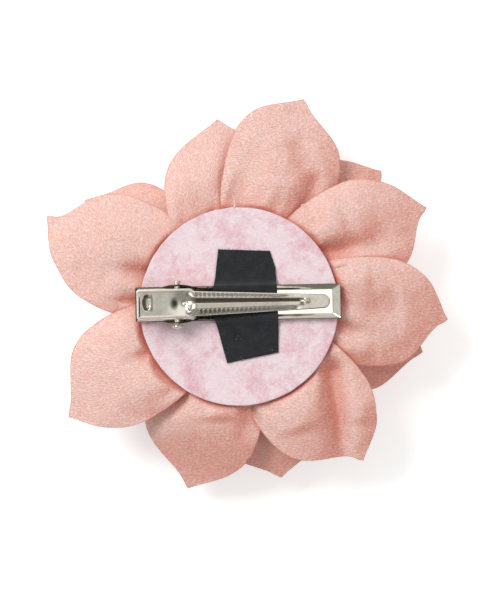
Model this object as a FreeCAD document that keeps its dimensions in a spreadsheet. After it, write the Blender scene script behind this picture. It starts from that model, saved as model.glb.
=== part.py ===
import FreeCAD, Part
import math
import os
import Sketcher

# Flower hair clip, millimetres.
# The clip's length runs along X with the jaw tip at +X, and +Z points away from the flower, to the side that
# lies in the hair. The origin is the middle of the base plate's gripping face. The flower hangs below the clip.

DIMENSIONS = {
    # Clip, sheet steel
    "sheet": 0.5,
    "tail_end": -27.5,
    "jaw_end": 27.5,
    "rim_run": 1.15,
    "rim_half": 4.6,
    "rim_top": 0.9,
    "pin_x": -16.3,
    "pin_z": 3.0,
    "pin_radius": 0.8,
    "running_gap": 0.06,
    "ear_outer": 5.1,
    "ear_inner": 4.5,
    "ear_radius": 3.8,
    "ear_middle_z": 1.3,
    "head_radius": 1.6,
    "head_thick": 1.0,
    "head_start": 5.6,
    "peen_radius": 1.05,
    "peen_thick": 0.8,
    # Lever
    "lever_tail": -27.1,
    "lever_tail_z": 8.6,
    "shoulder_x": -11.7,
    "shoulder_z": 4.6,
    "pad_half": 4.1,
    "lever_ear_inner": 3.6,
    "lever_ear_radius": 1.9,
    "tip_x": 22.7,
    "tip_radius": 1.85,
    "tip_low": 0.08,
    "tip_high": 0.6,
    "arm_wall": 0.45,
    "root_ridge": 3.4,
    "root_foot": 3.5,
    "root_low": 2.6,
    "neck_ridge": 1.9,
    "neck_foot": 3.2,
    "neck_low": 0.75,
    "waist_ridge": 1.5,
    "waist_foot": 2.2,
    "waist_high": 1.65,
    "waist_low": 0.72,
    "tip_ridge": 1.6,
    "tooth_pitch": 1.2,
    "tooth_count": 15,
    "tooth_start": -8.0,
    "tooth_depth": 0.65,
    "tooth_low": 0.6,
    # Leaf spring
    "spring_half": 2.5,
    "spring_inner": 1.1,
    "spring_thick": 0.35,
    "spring_reach": 9.2,
    "spring_upper": 4.6,
    "spring_lower": -2.95,
    # Ribbon strap
    "strap_start": -6.6,
    "strap_width": 17.1,
    "strap_top": 14.1,
    "strap_bottom": -14.8,
    "strap_thick": 0.35,
    "strap_gap": 0.06,
    # Backing
    "glue_thick": 0.3,
    "glue_half": 3.0,
    "felt_radius": 26.7,
    "felt_thick": 1.2,
    "flower_x": 0.2,
    "flower_y": -1.0,
    "foundation_radius": 17.0,
    "foundation_thick": 0.8,
    "core_radius": 7.5,
    "core_low": -12.5,
    "bud_radius": 6.0,
    "bud_tip": -24.0,
    # Petals, all rings
    "petal_thick": 0.45,
}

# Each ring of petals: the centre line's root, middle and tip height, where the middle is, the greatest half
# width, how deep the petal is cupped, and the distance from the flower's axis to the root.
RING_WORDS = ("root_z", "middle_r", "middle_z", "tip_z", "half_width", "cup", "root_r")
RINGS = {
    "outer": (-4.6, 40.0, 0.2, -9.5, 16.0, 1.6, 9.0),
    "second": (-8.0, 34.0, -7.8, -16.5, 14.0, 1.8, 9.0),
    "third": (-9.8, 28.0, -11.6, -21.0, 12.0, 1.8, 9.0),
    "inner": (-11.4, 23.0, -16.0, -26.0, 10.5, 2.0, 9.0),
    "heart": (-12.8, 14.5, -15.7, -25.0, 6.6, 1.4, 8.0),
}

# Each petal: its direction from the flower's middle, the reach of its tip, its roll about its own length and
# its lift over the ring's common height.
PETALS = {
    "outer": [
        (95.4, 51.0, 6.0, -1.2),
        (71.5, 58.7, 8.0, -0.3),
        (26.7, 57.3, 8.0, 0.0),
        (-4.8, 56.5, 7.0, 0.2),
        (-52.2, 53.5, 1.0, 0.6),
        (-106.8, 51.5, -3.0, -0.4),
        (-148.2, 55.0, 3.0, 0.7),
        (153.9, 57.5, -1.5, -0.1),
    ],
    "second": [
        (144.3, 51.0, 7.0, 0.0),
        (94.0, 49.0, 7.0, 0.0),
        (42.5, 53.4, 7.0, 0.0),
        (-15.2, 51.4, 7.0, 0.0),
        (-77.2, 47.9, 7.0, 0.0),
        (-112.0, 44.0, 7.0, 0.0),
        (-150.0, 47.0, 7.0, 0.0),
    ],
    "third": [(3 + 360 / 7 * turn, 39.5, 9.0, 0.0) for turn in range(7)],
    "inner": [(45 + 60 * turn, 33.0, 11.0, 0.0) for turn in range(6)],
    "heart": [(10 + 72 * turn, 20.0, 13.0, 0.0) for turn in range(5)],
}
PETAL_WORDS = ("angle", "reach", "roll", "lift")

# Half width along a petal, from root to tip, as a share of its greatest half width.
OUTLINE = (0.28, 0.58, 0.84, 1.0, 1.0, 0.86, 0.52, 0.04)


def make_sheet(doc):
    """Writes every driving dimension into the spreadsheet under its own alias."""
    sheet = doc.addObject("Spreadsheet::Sheet", "dims")
    values = dict(DIMENSIONS)
    for ring, sizes in RINGS.items():
        for word, size in zip(RING_WORDS, sizes):
            values[f"{ring}_{word}"] = size
        for number, sizes in enumerate(PETALS[ring], 1):
            for word, size in zip(PETAL_WORDS, sizes):
                values[f"{ring}_{number}_{word}"] = size
    for row, (alias, value) in enumerate(values.items(), 1):
        sheet.set(f"A{row}", alias)
        sheet.set(f"B{row}", str(value))
        sheet.setAlias(f"B{row}", alias)
    doc.recompute()
    return sheet


def value_of(sheet, text):
    """Works out an expression of the sheet's aliases as a plain number."""
    return float(sheet.evalExpression(text))


def new_body(doc, label):
    body = doc.addObject("PartDesign::Body", label)
    body.Label = label
    return body


def new_sketch(body, name, role, offset=None):
    """A sketch on one of the body's origin planes, moved along its normal by an expression."""
    sketch = body.newObject("Sketcher::SketchObject", name)
    plane = next(item for item in body.Origin.OriginFeatures if item.Role == role)
    sketch.AttachmentSupport = (plane, [""])
    sketch.MapMode = "FlatFace"
    if offset:
        sketch.setExpression("AttachmentOffset.Base.z", offset)
    return sketch


def outline(sheet, sketch, corners, arcs=None):
    """A closed outline through corners given as expressions.

    arcs gives, for the side that starts at a corner, a point it bends through and where its centre is across."""
    arcs = arcs or {}
    points = []
    for across, up in corners:
        points.append(FreeCAD.Vector(value_of(sheet, across), value_of(sheet, up), 0))
    count = len(points)
    for side in range(count):
        end = points[(side + 1) % count]
        if side in arcs:
            across, up, centre = arcs[side]
            middle = FreeCAD.Vector(value_of(sheet, across), value_of(sheet, up), 0)
            turns_left = (middle - points[side]).cross(end - middle).z > 0
            ends = (points[side], end) if turns_left else (end, points[side])
            sketch.addGeometry(Part.Arc(ends[0], middle, ends[1]))
        else:
            sketch.addGeometry(Part.LineSegment(points[side], end))
    for corner, (across, up) in enumerate(corners):
        start = 1
        if corner in arcs:
            start = nearest_end(sketch.Geometry[corner], points[corner])
        for kind, size, text in (("DistanceX", points[corner].x, across), ("DistanceY", points[corner].y, up)):
            number = sketch.addConstraint(Sketcher.Constraint(kind, corner, start, size))
            sketch.setExpression(f"Constraints[{number}]", text)
    for side in range(count):
        following = (side + 1) % count
        meeting = points[following]
        this_end = nearest_end(sketch.Geometry[side], meeting)
        next_end = nearest_end(sketch.Geometry[following], meeting)
        sketch.addConstraint(Sketcher.Constraint("Coincident", side, this_end, following, next_end))
    for side, (across, up, centre) in arcs.items():
        number = sketch.addConstraint(Sketcher.Constraint("DistanceX", side, 3, value_of(sheet, centre)))
        sketch.setExpression(f"Constraints[{number}]", centre)
    return sketch


def nearest_end(curve, point):
    """1 for a curve's start or 2 for its end, whichever is at the point."""
    return 1 if curve.StartPoint.distanceToPoint(point) < curve.EndPoint.distanceToPoint(point) else 2


def rectangle(sheet, sketch, low_x, high_x, low_y, high_y):
    return outline(sheet, sketch, [(low_x, low_y), (high_x, low_y), (high_x, high_y), (low_x, high_y)])


def circle(sheet, sketch, across, up, radius):
    """A circle whose middle and radius are bound to expressions."""
    middle = FreeCAD.Vector(value_of(sheet, across), value_of(sheet, up), 0)
    size = value_of(sheet, radius)
    sketch.addGeometry(Part.Circle(middle, FreeCAD.Vector(0, 0, 1), size))
    number = sketch.addConstraint(Sketcher.Constraint("Radius", 0, size))
    sketch.setExpression(f"Constraints[{number}]", radius)
    for kind, place, text in (("DistanceX", middle.x, across), ("DistanceY", middle.y, up)):
        number = sketch.addConstraint(Sketcher.Constraint(kind, 0, 3, place))
        sketch.setExpression(f"Constraints[{number}]", text)
    return sketch


def across_width(body, kind, name, sketch, width):
    """A Pad or Pocket of a side outline, to the same distance on both sides of the clip's middle plane."""
    feature = body.newObject(kind, name)
    feature.Profile = sketch
    feature.SideType = "Symmetric"
    feature.setExpression("Length", width)
    return feature


def upward(body, name, sketch, height):
    pad = body.newObject("PartDesign::Pad", name)
    pad.Profile = sketch
    pad.setExpression("Length", height)
    return pad


def loft(body, kind, name, sketches):
    feature = body.newObject(kind, name)
    feature.Profile = sketches[0]
    feature.Sections = sketches[1:]
    feature.Ruled = True
    return feature


def make_clip_base(doc, sheet):
    """Tray-shaped base plate with a sloped rim and two ears that hold the pin.

    Round ends are drawn a hair smaller than the plates they finish, so that their faces never coincide."""
    body = new_body(doc, "clip_base")
    low_x = "dims.tail_end + dims.rim_run"
    high_x = "dims.jaw_end - dims.rim_run"
    half = "dims.rim_half - dims.rim_run"
    foot = new_sketch(body, "tray_foot", "XY_Plane", "-dims.sheet")
    rectangle(sheet, foot, low_x, high_x, f"-({half})", half)
    mouth = new_sketch(body, "tray_mouth", "XY_Plane", "dims.rim_top")
    rectangle(sheet, mouth, "dims.tail_end", "dims.jaw_end", "-dims.rim_half", "dims.rim_half")
    loft(body, "PartDesign::AdditiveLoft", "tray", [foot, mouth])
    inset = "dims.sheet * 0.5"
    floor = new_sketch(body, "floor", "XY_Plane", "0 * dims.sheet")
    rectangle(sheet, floor, f"{low_x} + {inset}", f"{high_x} - {inset}", f"-({half}) + {inset}", f"{half} - {inset}")
    brim = new_sketch(body, "brim", "XY_Plane", "dims.rim_top")
    rectangle(sheet, brim, f"dims.tail_end + {inset}", f"dims.jaw_end - {inset}",
              f"-dims.rim_half + {inset}", f"dims.rim_half - {inset}")
    loft(body, "PartDesign::SubtractiveLoft", "hollow", [floor, brim])

    ear_low = "dims.pin_x - dims.ear_radius"
    ear_high = "dims.pin_x + dims.ear_radius"
    ear_foot = new_sketch(body, "ear_foot", "XZ_Plane")
    rectangle(sheet, ear_foot, ear_low, ear_high, "-dims.sheet", "dims.ear_middle_z")
    across_width(body, "PartDesign::Pad", "ear_feet", ear_foot, "2 * dims.ear_outer")
    ear_round = new_sketch(body, "ear_round", "XZ_Plane")
    circle(sheet, ear_round, "dims.pin_x", "dims.ear_middle_z", "dims.ear_radius - 0.01")
    across_width(body, "PartDesign::Pad", "ear_rounds", ear_round, "2 * dims.ear_outer")
    below = new_sketch(body, "below_floor", "XZ_Plane")
    rectangle(sheet, below, f"{ear_low} - 1", f"{ear_high} + 1", "-dims.sheet - 3", "-dims.sheet")
    across_width(body, "PartDesign::Pocket", "flat_underside", below, "4 * dims.ear_outer")
    between = new_sketch(body, "between_ears", "XZ_Plane")
    rectangle(sheet, between, f"{ear_low} - 0.2", f"{ear_high} + 0.2", "0 * dims.sheet", "3 * dims.ear_radius")
    across_width(body, "PartDesign::Pocket", "ear_gap", between, "2 * dims.ear_inner")
    bore = new_sketch(body, "bore", "XZ_Plane")
    circle(sheet, bore, "dims.pin_x", "dims.pin_z", "dims.pin_radius")
    across_width(body, "PartDesign::Pocket", "pin_bore", bore, "4 * dims.ear_outer")
    return body


# The lever's arm, from the shoulder to the tip: where each section stands, the half width of its ridge and of
# its foot, and the height of both.
ARM_SECTIONS = (
    ("shoulder_x - dims.sheet", "root_ridge", "root_foot", "shoulder_z + dims.sheet / 5", "root_low"),
    ("shoulder_x + 5 * dims.sheet", "neck_ridge", "neck_foot", "shoulder_z - dims.arm_wall", "neck_low"),
    ("strap_start + dims.strap_width + 3 * dims.sheet", "waist_ridge", "waist_foot", "waist_high", "waist_low"),
    ("tip_x", "tip_ridge", "tip_radius", "tip_high", "tip_low"),
)


def arm_sections(sheet, body, name, wall):
    """Trapezoid sections of the arm: its outside, or with a wall thickness the room inside it, open below."""
    sketches = []
    for number, (place, ridge, foot, top, low) in enumerate(ARM_SECTIONS):
        sketch = new_sketch(body, f"{name}_{number}", "YZ_Plane", f"dims.{place}")
        ridge_half = f"dims.{ridge} - {wall}"
        foot_half = f"dims.{foot} - {wall} * 0.8"
        up_to = f"dims.{top} - {wall}"
        down_to = f"dims.{low} - {wall} * 1.3"
        corners = [
            (f"-({foot_half})", down_to),
            (foot_half, down_to),
            (ridge_half, up_to),
            (f"-({ridge_half})", up_to),
        ]
        sketches.append(outline(sheet, sketch, corners))
    return sketches


def make_clip_lever(doc, sheet):
    """Upper jaw: thumb pad, ears round the pin, and a channel-shaped arm with toothed edges."""
    body = new_body(doc, "clip_lever")
    cheek = new_sketch(body, "cheek", "XZ_Plane")
    rectangle(sheet, cheek, "dims.pin_x - dims.lever_ear_radius", "dims.pin_x + dims.lever_ear_radius",
              "dims.pin_z", "dims.shoulder_z + 0.7")
    across_width(body, "PartDesign::Pad", "cheeks", cheek, "2 * dims.pad_half")
    round_end = new_sketch(body, "round_end", "XZ_Plane")
    circle(sheet, round_end, "dims.pin_x", "dims.pin_z", "dims.lever_ear_radius - 0.01")
    across_width(body, "PartDesign::Pad", "round_ends", round_end, "2 * dims.pad_half")
    room = new_sketch(body, "room_for_spring", "XZ_Plane")
    rectangle(sheet, room, "dims.pin_x - 2 * dims.ear_radius", "dims.pin_x + 2 * dims.ear_radius",
              "dims.pin_z - dims.ear_radius", "dims.lever_tail_z")
    across_width(body, "PartDesign::Pocket", "cheek_gap", room, "2 * dims.lever_ear_inner")

    side = new_sketch(body, "pad_side", "XZ_Plane")
    outline(sheet, side, [
        ("dims.lever_tail", "dims.lever_tail_z - dims.sheet"),
        ("dims.shoulder_x", "dims.shoulder_z - dims.sheet"),
        ("dims.shoulder_x", "dims.shoulder_z"),
        ("dims.lever_tail", "dims.lever_tail_z"),
    ])
    across_width(body, "PartDesign::Pad", "thumb_pad", side, "2 * dims.pad_half")

    outside = arm_sections(sheet, body, "arm_outside", "0 * dims.arm_wall")
    loft(body, "PartDesign::AdditiveLoft", "arm", outside)
    inside = arm_sections(sheet, body, "arm_inside", "dims.arm_wall")
    loft(body, "PartDesign::SubtractiveLoft", "channel", inside[:-1])
    tip = new_sketch(body, "tip_outline", "XY_Plane", "dims.tip_low")
    circle(sheet, tip, "dims.tip_x", "0 * dims.tip_x", "dims.tip_radius")
    upward(body, "tip_round", tip, "dims.tip_high - dims.tip_low")

    bore = new_sketch(body, "bore", "XZ_Plane")
    circle(sheet, bore, "dims.pin_x", "dims.pin_z", "dims.pin_radius + dims.running_gap")
    across_width(body, "PartDesign::Pocket", "pin_bore", bore, "4 * dims.pad_half")

    notch = new_sketch(body, "notch", "XZ_Plane")
    outline(sheet, notch, [
        ("dims.tooth_start - dims.tooth_pitch * 0.4", "dims.tooth_low"),
        ("dims.tooth_start + dims.tooth_pitch * 0.4", "dims.tooth_low"),
        ("dims.tooth_start", "dims.tooth_low + dims.tooth_depth"),
    ])
    gap = across_width(body, "PartDesign::Pocket", "tooth_gap", notch, "4 * dims.pad_half")
    doc.recompute()
    teeth = body.newObject("PartDesign::LinearPattern", "teeth")
    teeth.Originals = [gap]
    teeth.Direction = (notch, ["H_Axis"])
    teeth.Length = value_of(sheet, "dims.tooth_pitch * (dims.tooth_count - 1)")
    teeth.setExpression("Length", "dims.tooth_pitch * (dims.tooth_count - 1)")
    teeth.setExpression("Occurrences", "dims.tooth_count")
    body.Tip = teeth
    return body


def at_pin(body):
    """Places a body at the pin's axis."""
    body.setExpression("Placement.Base.x", "dims.pin_x")
    body.setExpression("Placement.Base.z", "dims.pin_z")


def make_pivot_pin(doc, sheet):
    """Pin with a formed head at its -Y end and a small peened end at +Y."""
    body = new_body(doc, "pivot_pin")
    profile = new_sketch(body, "profile", "XY_Plane")
    outline(sheet, profile, [
        ("0 * dims.pin_radius", "-dims.head_start - dims.head_thick"),
        ("dims.head_radius", "-dims.head_start - dims.head_thick"),
        ("dims.head_radius", "-dims.head_start"),
        ("dims.pin_radius", "-dims.head_start"),
        ("dims.pin_radius", "dims.head_start"),
        ("dims.peen_radius", "dims.head_start"),
        ("dims.peen_radius", "dims.head_start + dims.peen_thick"),
        ("0 * dims.pin_radius", "dims.head_start + dims.peen_thick"),
    ])
    turned = body.newObject("PartDesign::Revolution", "turned")
    turned.Profile = profile
    turned.ReferenceAxis = (profile, ["V_Axis"])
    turned.Angle = 360
    at_pin(body)
    return body


def make_leaf_spring(doc, sheet):
    """Flat strip folded round the pin, one leg under the thumb pad and one on the base plate."""
    body = new_body(doc, "leaf_spring")
    profile = new_sketch(body, "profile", "XZ_Plane")
    outside = "dims.spring_inner + dims.spring_thick"
    outline(sheet, profile, [
        ("0 * dims.spring_inner", outside),
        ("-dims.spring_reach", "dims.spring_upper"),
        ("-dims.spring_reach", "dims.spring_upper - dims.spring_thick"),
        ("0 * dims.spring_inner", "dims.spring_inner"),
        ("0 * dims.spring_inner", "-dims.spring_inner"),
        ("-dims.spring_reach", "dims.spring_lower + dims.spring_thick"),
        ("-dims.spring_reach", "dims.spring_lower"),
        ("0 * dims.spring_inner", f"-({outside})"),
    ], arcs={
        3: ("dims.spring_inner", "0 * dims.spring_inner", "0 * dims.spring_inner"),
        7: (outside, "0 * dims.spring_inner", "0 * dims.spring_inner"),
    })
    across_width(body, "PartDesign::Pad", "strip", profile, "2 * dims.spring_half")
    at_pin(body)
    return body


def make_ribbon_strap(doc, sheet):
    """Ribbon glued to the felt on both sides of the clip, down into the tray and over its two rims."""
    body = new_body(doc, "ribbon_strap")
    profile = new_sketch(body, "profile", "YZ_Plane", "dims.strap_start")
    felt_top = "-dims.sheet - dims.glue_thick"
    over = "dims.rim_top + dims.strap_gap"
    thick = "dims.strap_thick"
    gap = "dims.strap_gap"
    path = [
        ("dims.strap_top", felt_top),
        (f"dims.rim_half + 2.5 * {thick}", felt_top),
        (f"dims.rim_half + {gap}", over),
        (f"dims.rim_half - 5 * {gap}", over),
        (f"dims.rim_half - dims.rim_run - 5 * {gap}", gap),
    ]
    lifted = [
        ("dims.strap_top", f"{felt_top} + {thick}"),
        (f"dims.rim_half + 3 * {thick}", f"{felt_top} + {thick}"),
        (f"dims.rim_half + {thick} + {gap}", f"{over} + {thick}"),
        (f"dims.rim_half - 7 * {gap}", f"{over} + {thick}"),
        (f"dims.rim_half - dims.rim_run - 7 * {gap}", f"{gap} + {thick}"),
    ]
    under = path + [(f"-({across})", up) for across, up in reversed(path)]
    under[-1] = ("dims.strap_bottom", felt_top)
    over_side = lifted + [(f"-({across})", up) for across, up in reversed(lifted)]
    over_side[-1] = ("dims.strap_bottom", f"{felt_top} + {thick}")
    outline(sheet, profile, under + over_side[::-1])
    upward(body, "ribbon", profile, "dims.strap_width")
    return body


def disc(doc, label, radius, top, thick):
    """A round flat piece on the flower's axis, below a given height."""
    piece = doc.addObject("Part::Cylinder", label)
    piece.Label = label
    piece.setExpression("Radius", radius)
    piece.setExpression("Height", thick)
    piece.setExpression("Placement.Base.x", "dims.flower_x")
    piece.setExpression("Placement.Base.y", "dims.flower_y")
    piece.setExpression("Placement.Base.z", f"{top} - ({thick})")
    return piece


def make_backing(doc):
    """Glue under the clip, the felt disc, the stiff disc behind the petals and the glue that joins their roots."""
    glue = doc.addObject("Part::Box", "clip_glue")
    glue.Label = "clip_glue"
    glue.setExpression("Length", "dims.jaw_end - dims.tail_end - 6 * dims.rim_run")
    glue.setExpression("Width", "2 * dims.glue_half")
    glue.setExpression("Height", "dims.glue_thick")
    glue.setExpression("Placement.Base.x", "dims.tail_end + 3 * dims.rim_run")
    glue.setExpression("Placement.Base.y", "-dims.glue_half")
    glue.setExpression("Placement.Base.z", "-dims.sheet - dims.glue_thick")
    felt_top = "-dims.sheet - dims.glue_thick"
    foundation_top = f"{felt_top} - dims.felt_thick"
    core_top = f"{foundation_top} - dims.foundation_thick"
    return [
        glue,
        disc(doc, "felt_disc", "dims.felt_radius", felt_top, "dims.felt_thick"),
        disc(doc, "foundation_disc", "dims.foundation_radius", foundation_top, "dims.foundation_thick"),
        disc(doc, "flower_glue", "dims.core_radius", core_top, f"{core_top} - dims.core_low"),
    ]


def make_bud_core(doc, sheet):
    """Rolled fabric heart of the flower, a rounded cone."""
    body = new_body(doc, "bud_core")
    profile = new_sketch(body, "profile", "XZ_Plane")
    middle = "(dims.core_low + dims.bud_tip) / 2"
    outline(sheet, profile, [
        ("0 * dims.bud_radius", "dims.core_low"),
        ("dims.bud_radius * 0.7", "dims.core_low"),
        ("dims.bud_radius", f"{middle} + 2"),
        ("dims.bud_radius * 0.85", f"{middle} - 2"),
        ("dims.bud_radius * 0.3", "dims.bud_tip"),
        ("0 * dims.bud_radius", "dims.bud_tip"),
    ])
    turned = body.newObject("PartDesign::Revolution", "turned")
    turned.Profile = profile
    turned.ReferenceAxis = (profile, ["V_Axis"])
    turned.Angle = 360
    body.setExpression("Placement.Base.x", "dims.flower_x")
    body.setExpression("Placement.Base.y", "dims.flower_y")
    return body


def petal_shape(sheet, ring, number):
    """A thin cupped petal along +X, from its root to its pointed tip."""
    size = {word: sheet.get(f"{ring}_{word}") for word in RING_WORDS}
    own = {word: sheet.get(f"{ring}_{number}_{word}") for word in PETAL_WORDS}
    roll = math.radians(own["roll"])
    root = FreeCAD.Vector(size["root_r"], 0, size["root_z"])
    middle = FreeCAD.Vector(size["middle_r"], 0, size["middle_z"])
    tip = FreeCAD.Vector(own["reach"], 0, size["tip_z"])
    sideways = FreeCAD.Vector(0, math.cos(roll), math.sin(roll))
    last = len(OUTLINE) - 1
    rows = []
    for station, share in enumerate(OUTLINE):
        along = station / last
        centre = root * (1 - along) ** 2 + middle * 2 * along * (1 - along) + tip * along ** 2
        heading = (middle - root) * (1 - along) + (tip - middle) * along
        inward = heading.cross(sideways).normalize() * -1
        row = []
        for step in (-1, -0.5, 0, 0.5, 1):
            spread = sideways * (step * share * size["half_width"])
            row.append(centre + spread + inward * (size["cup"] * (step * share) ** 2))
        rows.append(row)
    surface = Part.BSplineSurface()
    surface.interpolate(rows)
    chord = (tip - root).cross(sideways).normalize() * -1
    return surface.toShape().extrude(chord * sheet.get("petal_thick"))


def make_petals(doc, sheet):
    """All rings of petals, each petal a piece of its own."""
    pieces = []
    for ring, petals in PETALS.items():
        for number in range(1, len(petals) + 1):
            piece = doc.addObject("Part::Feature", f"{ring}_petal_{number}")
            piece.Label = f"{ring}_petal_{number}"
            piece.Shape = petal_shape(sheet, ring, number)
            place = FreeCAD.Vector(sheet.get("flower_x"), sheet.get("flower_y"),
                                   sheet.get(f"{ring}_{number}_lift"))
            turn = FreeCAD.Rotation(FreeCAD.Vector(0, 0, 1), sheet.get(f"{ring}_{number}_angle"))
            piece.Placement = FreeCAD.Placement(place, turn)
            pieces.append(piece)
    return pieces


def check(doc, pieces):
    """Stops with a plain message if any object failed or any piece has no sound solid."""
    for item in doc.Objects:
        if "Invalid" in item.State or "Error" in item.State:
            raise RuntimeError(f"{item.Label} failed: {item.State}")
    for piece in pieces:
        if piece.Shape.isNull() or not piece.Shape.isValid() or not piece.Shape.Solids:
            raise RuntimeError(f"{piece.Label} has no valid solid")


def main():
    doc = FreeCAD.newDocument("flower_hair_clip")
    sheet = make_sheet(doc)
    pieces = [
        make_clip_base(doc, sheet),
        make_clip_lever(doc, sheet),
        make_pivot_pin(doc, sheet),
        make_leaf_spring(doc, sheet),
        make_ribbon_strap(doc, sheet),
        make_bud_core(doc, sheet),
    ]
    pieces += make_backing(doc)
    pieces += make_petals(doc, sheet)
    doc.recompute()
    check(doc, pieces)
    os.makedirs("parts", exist_ok=True)
    for piece in pieces:
        piece.Shape.exportStep(f"parts/{piece.Label}.step")
        print(f"{piece.Label}: {piece.Shape.Volume:.1f} mm3, {len(piece.Shape.Solids)} solid")


main()
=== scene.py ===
import math
import random

import bmesh
import bpy
import numpy as np
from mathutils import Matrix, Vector, noise


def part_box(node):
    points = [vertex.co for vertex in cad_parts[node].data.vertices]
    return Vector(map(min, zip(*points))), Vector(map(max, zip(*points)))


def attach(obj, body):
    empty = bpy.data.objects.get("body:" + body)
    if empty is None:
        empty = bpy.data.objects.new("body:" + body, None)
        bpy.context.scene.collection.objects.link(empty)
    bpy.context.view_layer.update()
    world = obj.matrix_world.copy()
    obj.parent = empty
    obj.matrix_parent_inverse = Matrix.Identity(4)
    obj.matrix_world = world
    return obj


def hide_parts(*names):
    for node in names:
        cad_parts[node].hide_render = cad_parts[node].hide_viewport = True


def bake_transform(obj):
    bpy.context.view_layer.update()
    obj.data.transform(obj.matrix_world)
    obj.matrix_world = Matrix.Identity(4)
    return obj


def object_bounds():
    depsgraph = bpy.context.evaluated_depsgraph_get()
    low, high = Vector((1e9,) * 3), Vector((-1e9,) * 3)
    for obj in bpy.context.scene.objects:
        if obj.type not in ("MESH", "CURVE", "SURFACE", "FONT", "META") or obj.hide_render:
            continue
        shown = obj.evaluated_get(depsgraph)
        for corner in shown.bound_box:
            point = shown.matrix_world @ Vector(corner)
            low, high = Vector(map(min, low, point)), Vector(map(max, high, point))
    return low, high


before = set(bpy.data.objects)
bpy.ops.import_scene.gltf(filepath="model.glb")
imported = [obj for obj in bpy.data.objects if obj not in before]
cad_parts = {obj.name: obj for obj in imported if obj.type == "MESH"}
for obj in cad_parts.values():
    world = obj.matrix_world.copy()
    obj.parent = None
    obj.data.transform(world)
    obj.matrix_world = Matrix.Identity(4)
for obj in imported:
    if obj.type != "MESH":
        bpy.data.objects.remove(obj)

cad_low, cad_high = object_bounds()

MM = 0.001
ROOT, LEVER = "flower_and_base", "lever"

# Where the studio's window stands, in metres. The key light hangs there, and petals that turn away from it
# get a painted shade, a redder and darker colour, in their material.
WINDOW = Vector((-0.84, 0.70, 1.22))
TO_WINDOW = WINDOW.normalized()


# ---------------------------------------------------------------- small helpers

def rgb(red, green, blue):
    """A colour given as 0 to 255 display values, as the linear values Blender's shaders take."""
    linear = []
    for value in (red, green, blue):
        share = value / 255
        linear.append(share / 12.92 if share <= 0.04045 else ((share + 0.055) / 1.055) ** 2.4)
    return (*linear, 1.0)


def smooth(low, high, value):
    """0 below low, 1 above high and an even S between."""
    share = np.clip((value - low) / (high - low), 0.0, 1.0)
    return share * share * (3 - 2 * share)


def bell(value, middle, width):
    """1 at the middle, falling softly to almost 0 at twice the width away."""
    return np.exp(-((value - middle) / width) ** 2)


def box(node):
    """A node's lowest and highest corner in millimetres."""
    low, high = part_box(node)
    return Vector(low) / MM, Vector(high) / MM


def new_piece(name, points, faces, body, material):
    """A smooth mesh object from points in millimetres, riding on a body unless that is None."""
    mesh = bpy.data.meshes.new(name)
    mesh.from_pydata([tuple(np.asarray(point, float) * MM) for point in points], [], faces)
    mesh.validate()
    piece = bpy.data.objects.new(name, mesh)
    bpy.context.scene.collection.objects.link(piece)
    mesh.shade_smooth()
    mesh.materials.append(material)
    if body:
        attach(piece, body)
    return piece


def grid_faces(rows, columns, wrap=False):
    """Faces of a grid of points stored row by row; wrap joins the last column to the first."""
    faces = []
    last = columns if wrap else columns - 1
    for row in range(rows - 1):
        for column in range(last):
            following = (column + 1) % columns
            faces.append((row * columns + column, row * columns + following,
                          (row + 1) * columns + following, (row + 1) * columns + column))
    return faces


def surface(name, x, y, z, body, material):
    """A mesh object from three grids of coordinates in millimetres."""
    points = np.stack([x.ravel(), y.ravel(), z.ravel()], axis=1)
    return new_piece(name, points, grid_faces(*x.shape), body, material)


def attribute(piece, name, values):
    """Stores one number per vertex for the materials to read."""
    layer = piece.data.attributes.new(name, "FLOAT", "POINT")
    layer.data.foreach_set("value", np.asarray(values, np.float32).ravel())


def cloth_coordinates(piece, across, along):
    """UVs in millimetres of cloth, so that a weave keeps its real size on the curved surface."""
    across, along = np.ravel(across), np.ravel(along)
    layer = piece.data.uv_layers.new(name="cloth")
    for loop in piece.data.loops:
        layer.data[loop.index].uv = (across[loop.vertex_index], along[loop.vertex_index])


def thicken(piece, thickness, offset=-1.0):
    """Gives a sheet its thickness, in millimetres, below its surface."""
    solid = piece.modifiers.new("thickness", "SOLIDIFY")
    solid.thickness = thickness * MM
    solid.offset = offset


def rounded(piece, width, angle=30):
    """Rounds the sharp edges of a metal piece, width in millimetres."""
    bevel = piece.modifiers.new("edge", "BEVEL")
    bevel.width = width * MM
    bevel.segments = 2
    bevel.limit_method = "ANGLE"
    bevel.angle_limit = math.radians(angle)
    bevel.harden_normals = True


def flip_up(piece):
    """Turns a sheet's faces so that they look up."""
    total = sum(face.normal.z * face.area for face in piece.data.polygons)
    if total < 0:
        piece.data.flip_normals()


def weld(piece):
    """Joins points that lie on one another and turns the faces outward."""
    shape = bmesh.new()
    shape.from_mesh(piece.data)
    bmesh.ops.remove_doubles(shape, verts=shape.verts, dist=1e-6)
    bmesh.ops.recalc_face_normals(shape, faces=shape.faces)
    shape.to_mesh(piece.data)
    shape.free()
    piece.data.shade_smooth()


# ---------------------------------------------------------------- materials

# The mix node has several sockets called A, B and Result. These are the places of the colour ones.
COLOR_A, COLOR_B, COLOR_RESULT = 6, 7, 2


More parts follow.
